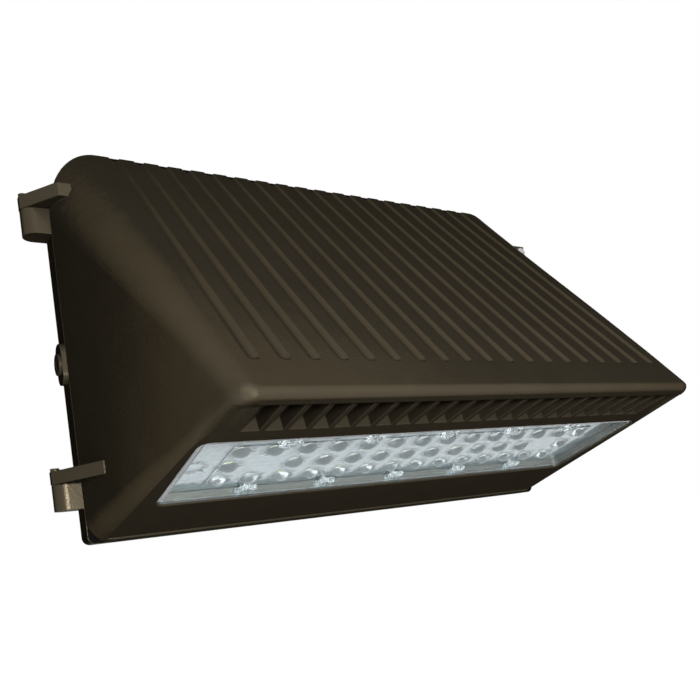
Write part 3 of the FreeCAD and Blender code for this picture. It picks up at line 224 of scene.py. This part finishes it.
# stretch is how fine the scratches are along each axis, and shade is the share of the colour left in them
metalFinish = {
    "steel": {"colour": (0.56, 0.55, 0.53), "shade": 0.8, "rough": (0.24, 0.42), "stretch": (900, 60, 900)},
    "zinc": {"colour": (0.5, 0.52, 0.54), "shade": 0.8, "rough": (0.3, 0.5), "stretch": (300, 300, 300)},
    "case": {"colour": (0.58, 0.59, 0.6), "shade": 0.8, "rough": (0.28, 0.44), "stretch": (40, 900, 1400)},
    "brass": {"colour": (0.55, 0.38, 0.13), "shade": 0.8, "rough": (0.22, 0.4), "stretch": (600, 600, 600)},
}


def makeMetal(name, finish):
    material, tree, shader = startMaterial(name)
    brush = placeGroup(tree, brushGroup, {"Stretch": finish["stretch"]})
    darker = [part * finish["shade"] for part in finish["colour"]]
    colour = addNode(tree, "ShaderNodeMixRGB", [(brush.outputs["Mask"], "Fac")],
                     Color1=(*finish["colour"], 1), Color2=(*darker, 1))
    rough = mapRange(tree, brush.outputs["Mask"], finish["rough"])
    tree.links.new(colour.outputs["Color"], shader.inputs["Base Color"])
    tree.links.new(rough, shader.inputs["Roughness"])
    tree.links.new(brush.outputs["Normal"], shader.inputs["Normal"])
    shader.inputs["Metallic"].default_value = 1.0
    return material


# the domes on the under-face: the nose line, the face's slope, the two pitches, how far back the middle
# row lies, how many rows there are, and in pitches from the middle, where rows end and where one is bare
opticGrid = {"nose": (-0.1879, -0.0662), "slope": 16.264, "across": 0.0193, "along": 0.018,
             "middle": 0.0901, "rows": 3, "end": 7, "bare": (5, 6)}
# the rays that fan out from a dome between two radii
rayRelief = {"start": 0.0052, "end": 0.0088, "rays": 2.6, "height": 0.0006}


def toNearestLine(tree, source, pitch, phase):
    # distance to the nearest line of a row of evenly spaced ones
    return calculate(tree, "WRAP", calculate(tree, "ADD", source, phase), pitch / 2, -pitch / 2)


def placesInUse(tree, across, along, grid):
    # one where the grid has a dome: the outer rows end at their last one, the middle row has bare places
    across = calculate(tree, "ABSOLUTE", across)
    fromMiddle = calculate(tree, "ABSOLUTE", calculate(tree, "SUBTRACT", along, grid["middle"]))
    outerRow = calculate(tree, "GREATER_THAN", fromMiddle, grid["along"] / 2)
    middleRow = calculate(tree, "LESS_THAN", fromMiddle, grid["along"] / 2)
    pastRows = calculate(tree, "GREATER_THAN", fromMiddle, grid["along"] * grid["rows"] / 2)
    pastEnd = calculate(tree, "GREATER_THAN", across, grid["across"] * grid["end"])
    bareFrom = calculate(tree, "GREATER_THAN", across, grid["across"] * grid["bare"][0])
    bareTo = calculate(tree, "LESS_THAN", across, grid["across"] * grid["bare"][1])
    bare = calculate(tree, "MULTIPLY", calculate(tree, "MULTIPLY", bareFrom, bareTo), middleRow)
    hidden = calculate(tree, "MAXIMUM", calculate(tree, "MULTIPLY", outerRow, pastEnd), bare)
    return calculate(tree, "SUBTRACT", 1.0, calculate(tree, "MAXIMUM", hidden, pastRows))


def makeRayGroup(grid, relief):
    # the height of the rays around each dome of the moulded optic
    group, _, outs = newGroup("domeRays", (), (("Height", "NodeSocketFloat"),))
    noseY, noseZ = grid["nose"]
    moved = addNode(group, "ShaderNodeVectorMath", [(objectPlace(group), 0)], operation="SUBTRACT")
    moved.inputs[1].default_value = (0, noseY, noseZ)
    slope = math.radians(grid["slope"])
    back = addNode(group, "ShaderNodeVectorMath", [(moved.outputs["Vector"], 0)], operation="DOT_PRODUCT")
    back.inputs[1].default_value = (0, math.cos(slope), -math.sin(slope))
    along = back.outputs["Value"]
    split = addNode(group, "ShaderNodeSeparateXYZ", [(moved.outputs["Vector"], "Vector")])
    x = toNearestLine(group, split.outputs["X"], grid["across"], grid["across"] / 2)
    y = toNearestLine(group, along, grid["along"], -grid["middle"])
    flat = addNode(group, "ShaderNodeCombineXYZ", [(x, "X"), (y, "Y")])
    length = addNode(group, "ShaderNodeVectorMath", [(flat.outputs["Vector"], 0)], operation="LENGTH")
    radius = length.outputs["Value"]
    turn = calculate(group, "MULTIPLY", calculate(group, "ARCTAN2", y, x), relief["rays"])
    ray = addNode(group, "ShaderNodeTexNoise", [(turn, "W")], noise_dimensions="1D", Scale=1.0, Detail=1.0)
    fade = mapRange(group, radius, (1, 0), (relief["start"], relief["end"]))
    shown = calculate(group, "MULTIPLY", fade, calculate(group, "GREATER_THAN", radius, relief["start"]))
    height = calculate(group, "MULTIPLY", shown, ray.outputs["Fac"])
    inUse = placesInUse(group, split.outputs["X"], along, grid)
    group.links.new(calculate(group, "MULTIPLY", height, inUse), outs.inputs["Height"])
    return group


lensFinish = {"colour": (0.84, 0.91, 0.93, 1), "rough": (0.02, 0.09), "ior": 1.5, "clearness": 0.94,
              "flow": 260.0, "flowDetail": 3.0, "flowHeight": 0.0001}


def makeClear(name, finish, rayGroup):
    # moulded clear plastic, with rays around its domes, that lets the lamps reach the board behind it
    material, tree, shader = startMaterial(name)
    flow = addNode(tree, "ShaderNodeTexNoise", [(objectPlace(tree), "Vector")],
                   Scale=finish["flow"], Detail=finish["flowDetail"])
    swell = addNode(tree, "ShaderNodeBump", [(flow.outputs["Fac"], "Height")],
                    Strength=1.0, Distance=finish["flowHeight"])
    rays = placeGroup(tree, rayGroup)
    bump = addNode(tree, "ShaderNodeBump", [(rays.outputs["Height"], "Height"),
                                            (swell.outputs["Normal"], "Normal")],
                   Strength=1.0, Distance=rayRelief["height"])
    rough = mapRange(tree, flow.outputs["Fac"], finish["rough"])
    tree.links.new(bump.outputs["Normal"], shader.inputs["Normal"])
    tree.links.new(rough, shader.inputs["Roughness"])
    shader.inputs["Base Color"].default_value = finish["colour"]
    shader.inputs["Transmission Weight"].default_value = finish["clearness"]
    shader.inputs["IOR"].default_value = finish["ior"]
    clear = addNode(tree, "ShaderNodeBsdfTransparent", Color=finish["colour"])
    path = addNode(tree, "ShaderNodeLightPath")
    mix = addNode(tree, "ShaderNodeMixShader", [(path.outputs["Is Shadow Ray"], 0),
                                                (shader.outputs[0], 1), (clear.outputs[0], 2)])
    tree.links.new(mix.outputs[0], tree.nodes["Material Output"].inputs["Surface"])
    return material


boardFinish = {"mask": (0.27, 0.31, 0.33, 1), "trace": (0.17, 0.2, 0.22, 1), "areaScale": 46.0,
               "gap": 0.03, "relief": 0.0001, "reliefShare": 0.4, "rough": (0.28, 0.42),
               "patchScale": 300.0}


def makeBoard(name, finish):
    # blue-grey solder mask, with the copper areas parted by darker lines
    material, tree, shader = startMaterial(name)
    here = objectPlace(tree)
    bricks = addNode(tree, "ShaderNodeTexBrick", [(here, "Vector")], Scale=finish["areaScale"],
                     Color1=finish["mask"], Color2=finish["mask"], Mortar=finish["trace"])
    bricks.inputs["Mortar Size"].default_value = finish["gap"]
    bump = addNode(tree, "ShaderNodeBump", [(bricks.outputs["Fac"], "Height")],
                   Strength=finish["reliefShare"], Distance=finish["relief"])
    patches = addNode(tree, "ShaderNodeTexNoise", [(here, "Vector")], Scale=finish["patchScale"])
    rough = mapRange(tree, patches.outputs["Fac"], finish["rough"])
    tree.links.new(bricks.outputs["Color"], shader.inputs["Base Color"])
    tree.links.new(bump.outputs["Normal"], shader.inputs["Normal"])
    tree.links.new(rough, shader.inputs["Roughness"])
    return material


chipFinish = {"phosphor": (0.8, 0.62, 0.16, 1), "shade": (0.66, 0.46, 0.1, 1), "grit": 4000.0,
              "rough": (0.35, 0.55)}


def makeChip(name, finish):
    material, tree, shader = startMaterial(name)
    grit = addNode(tree, "ShaderNodeTexVoronoi", [(objectPlace(tree), "Vector")], Scale=finish["grit"])
    colour = addNode(tree, "ShaderNodeMixRGB", [(grit.outputs["Distance"], "Fac")],
                     Color1=finish["phosphor"], Color2=finish["shade"])
    rough = mapRange(tree, grit.outputs["Distance"], finish["rough"])
    tree.links.new(colour.outputs["Color"], shader.inputs["Base Color"])
    tree.links.new(rough, shader.inputs["Roughness"])
    return material


finishes = {
    "bronze_coat": makeCoat("bronzeCoat", coatFinish["bronze"]),
    "bronze_plug": makeCoat("bronzePlug", coatFinish["plug"]),
    "green_screw": makeCoat("greenScrew", coatFinish["greenSteel"]),
    "black_rubber": makeCoat("blackRubber", coatFinish["rubber"]),
    "white_plastic": makeCoat("whitePlastic", coatFinish["whitePlastic"]),
    "dark_plastic": makeCoat("darkPlastic", coatFinish["darkPlastic"]),
    "nylon": makeCoat("nylonWhite", coatFinish["nylon"]),
    "grey_pad": makeCoat("thermalGrey", coatFinish["pad"]),
    "stainless": makeMetal("stainlessSteel", metalFinish["steel"]),
    "zinc_steel": makeMetal("zincSteel", metalFinish["zinc"]),
    "driver_case": makeMetal("driverCase", metalFinish["case"]),
    "brass": makeMetal("plainBrass", metalFinish["brass"]),
    "clear_lens": makeClear("clearLens", lensFinish, makeRayGroup(opticGrid, rayRelief)),
    "white_board": makeBoard("whiteBoard", boardFinish),
    "phosphor": makeChip("phosphorChip", chipFinish),
}
for name, node in nodes.items():
    node.data.materials.clear()
    node.data.materials.append(finishes[slotOf[name]])
print("finishes set on", len(nodes), "nodes")


# ribbed collars of the lens round its ten screws: where the screws are, how deep the lens's face lies,
# how far a collar is sunk into it and rises from it (the ribs by that share alone), and its three radii
collarSizes = {"across": (-0.104, -0.052, 0, 0.052, 0.104), "along": (0.0587, 0.121), "depth": 0.0042,
               "sunk": 0.0006, "rise": 0.0016, "ribShare": 0.6, "inner": 0.0036, "tip": 0.0068,
               "valley": 0.0048, "ribs": 12}


def onUnderFace(grid, across, along, depth):
    # a point of the sloping under-face: across the light, back from the nose, and in from the face
    noseY, noseZ = grid["nose"]
    slope = math.radians(grid["slope"])
    return Vector((across, noseY + along * math.cos(slope) + depth * math.sin(slope),
                   noseZ - along * math.sin(slope) + depth * math.cos(slope)))


def addCollar(mesh, grid, sizes, across, along):
    # four loops make a closed ring: the bore's two, then the ribs' two, which go in and out step by step
    steps = sizes["ribs"] * 2
    foot = sizes["depth"] + sizes["sunk"]
    boreTop = sizes["depth"] - sizes["rise"]
    ribTop = sizes["depth"] - sizes["rise"] * sizes["ribShare"]
    bore = (sizes["inner"], sizes["inner"])
    ribbed = (sizes["valley"], sizes["tip"])
    rings = []
    for reaches, depth in ((bore, foot), (bore, boreTop), (ribbed, ribTop), (ribbed, foot)):
        ring = []
        for step in range(steps):
            turn = 2 * math.pi * step / steps
            reach = reaches[step % 2]
            sideways = across + reach * math.cos(turn)
            backwards = along + reach * math.sin(turn)
            ring.append(mesh.verts.new(onUnderFace(grid, sideways, backwards, depth)))
        rings.append(ring)
    for number, ring in enumerate(rings):
        after = rings[(number + 1) % len(rings)]
        for step in range(steps):
            turned = (step + 1) % steps
            mesh.faces.new((ring[step], ring[turned], after[turned], after[step]))


def makeCollars(grid, sizes):
    mesh = bmesh.new()
    for across in sizes["across"]:
        for along in sizes["along"]:
            addCollar(mesh, grid, sizes, across, along)
    bmesh.ops.recalc_face_normals(mesh, faces=mesh.faces)
    data = bpy.data.meshes.new("lensCollars")
    mesh.to_mesh(data)
    mesh.free()
    data.materials.append(finishes["clear_lens"])
    collars = bpy.data.objects.new("lensCollars", data)
    bpy.context.scene.collection.objects.link(collars)
    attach(collars, "cover")


makeCollars(opticGrid, collarSizes)
print("lens collars made")


def seenRays(tree):
    # one for the rays that show the background: straight to the camera, mirrored, or through the lens
    path = addNode(tree, "ShaderNodeLightPath")
    mirrored = calculate(tree, "MAXIMUM", path.outputs["Is Camera Ray"], path.outputs["Is Glossy Ray"])
    return calculate(tree, "MAXIMUM", mirrored, path.outputs["Is Transmission Ray"])


stageSizes = {"floorLevel": -0.9, "floorSide": 60.0, "floorColour": (0.86, 0.86, 0.86, 1),
              "floorRough": 0.9, "floorGlow": 0.97}


def makeFloor(sizes):
    half = sizes["floorSide"] / 2
    level = sizes["floorLevel"]
    corners = [(-half, -half, level), (half, -half, level), (half, half, level), (-half, half, level)]
    mesh = bpy.data.meshes.new("floor")
    mesh.from_pydata(corners, [], [(0, 1, 2, 3)])
    floor = bpy.data.objects.new("floor", mesh)
    bpy.context.scene.collection.objects.link(floor)
    material, tree, shader = startMaterial("paleFloor")
    shader.inputs["Base Color"].default_value = sizes["floorColour"]
    shader.inputs["Roughness"].default_value = sizes["floorRough"]
    shader.inputs["Emission Color"].default_value = (1, 1, 1, 1)
    glow = calculate(tree, "MULTIPLY", seenRays(tree), sizes["floorGlow"])
    tree.links.new(glow, shader.inputs["Emission Strength"])
    floor.data.materials.append(material)


# a lamp low in front lights the nose and the under-face and leaves the left side dark, a wide one high up
# fills the top, and one behind keeps the back readable
lamps = {
    "keyLamp": {"place": (-0.24, -0.85, -0.08), "aim": (-0.03, -0.15, -0.05), "size": 0.14, "power": 6.7},
    "highLamp": {"place": (0.1, -1.4, 1.2), "aim": (0, -0.1, 0), "size": 1.0, "power": 2.2},
    "rearLamp": {"place": (0.5, 1.5, 0.1), "aim": (0, 0, 0), "size": 1.2, "power": 8.0},
}


def makeLamp(name, values):
    light = bpy.data.lights.new(name, "AREA")
    light.size = values["size"]
    light.energy = values["power"]
    lamp = bpy.data.objects.new(name, light)
    bpy.context.scene.collection.objects.link(lamp)
    lamp.location = values["place"]
    look = Vector(values["aim"]) - Vector(values["place"])
    lamp.rotation_euler = look.to_track_quat("-Z", "Y").to_euler()


worldLevels = {"lighting": 0.03, "seen": 1.0}


def makeWorld(levels):
    # white where it is seen, and a low grey as light
    world = bpy.data.worlds.new("studio")
    bpy.context.scene.world = world
    world.use_nodes = True
    tree = world.node_tree
    tree.nodes.clear()
    level = mapRange(tree, seenRays(tree), (levels["lighting"], levels["seen"]), (0, 1))
    back = addNode(tree, "ShaderNodeBackground", [(level, "Strength")], Color=(1, 1, 1, 1))
    addNode(tree, "ShaderNodeOutputWorld", [(back.outputs[0], "Surface")])


cameraView = {"place": (-0.28487, -0.45648, -0.12252), "turn": (91.749, 7.360, -32.687),
              "sensor": 36.0, "lens": 38.465, "shiftUp": 0.2143, "nearest": 0.01}


def makeCamera(view):
    data = bpy.data.cameras.new("photoCamera")
    data.sensor_width = view["sensor"]
    data.lens = view["lens"]
    data.shift_y = view["shiftUp"]
    data.clip_start = view["nearest"]
    camera = bpy.data.objects.new("photoCamera", data)
    bpy.context.scene.collection.objects.link(camera)
    camera.location = view["place"]
    camera.rotation_euler = [math.radians(angle) for angle in view["turn"]]
    bpy.context.scene.camera = camera


makeFloor(stageSizes)
for lampName, lampValues in lamps.items():
    makeLamp(lampName, lampValues)
makeWorld(worldLevels)
makeCamera(cameraView)
bpy.context.scene.view_settings.view_transform = "Standard"
print("floor, lamps, world and camera set")
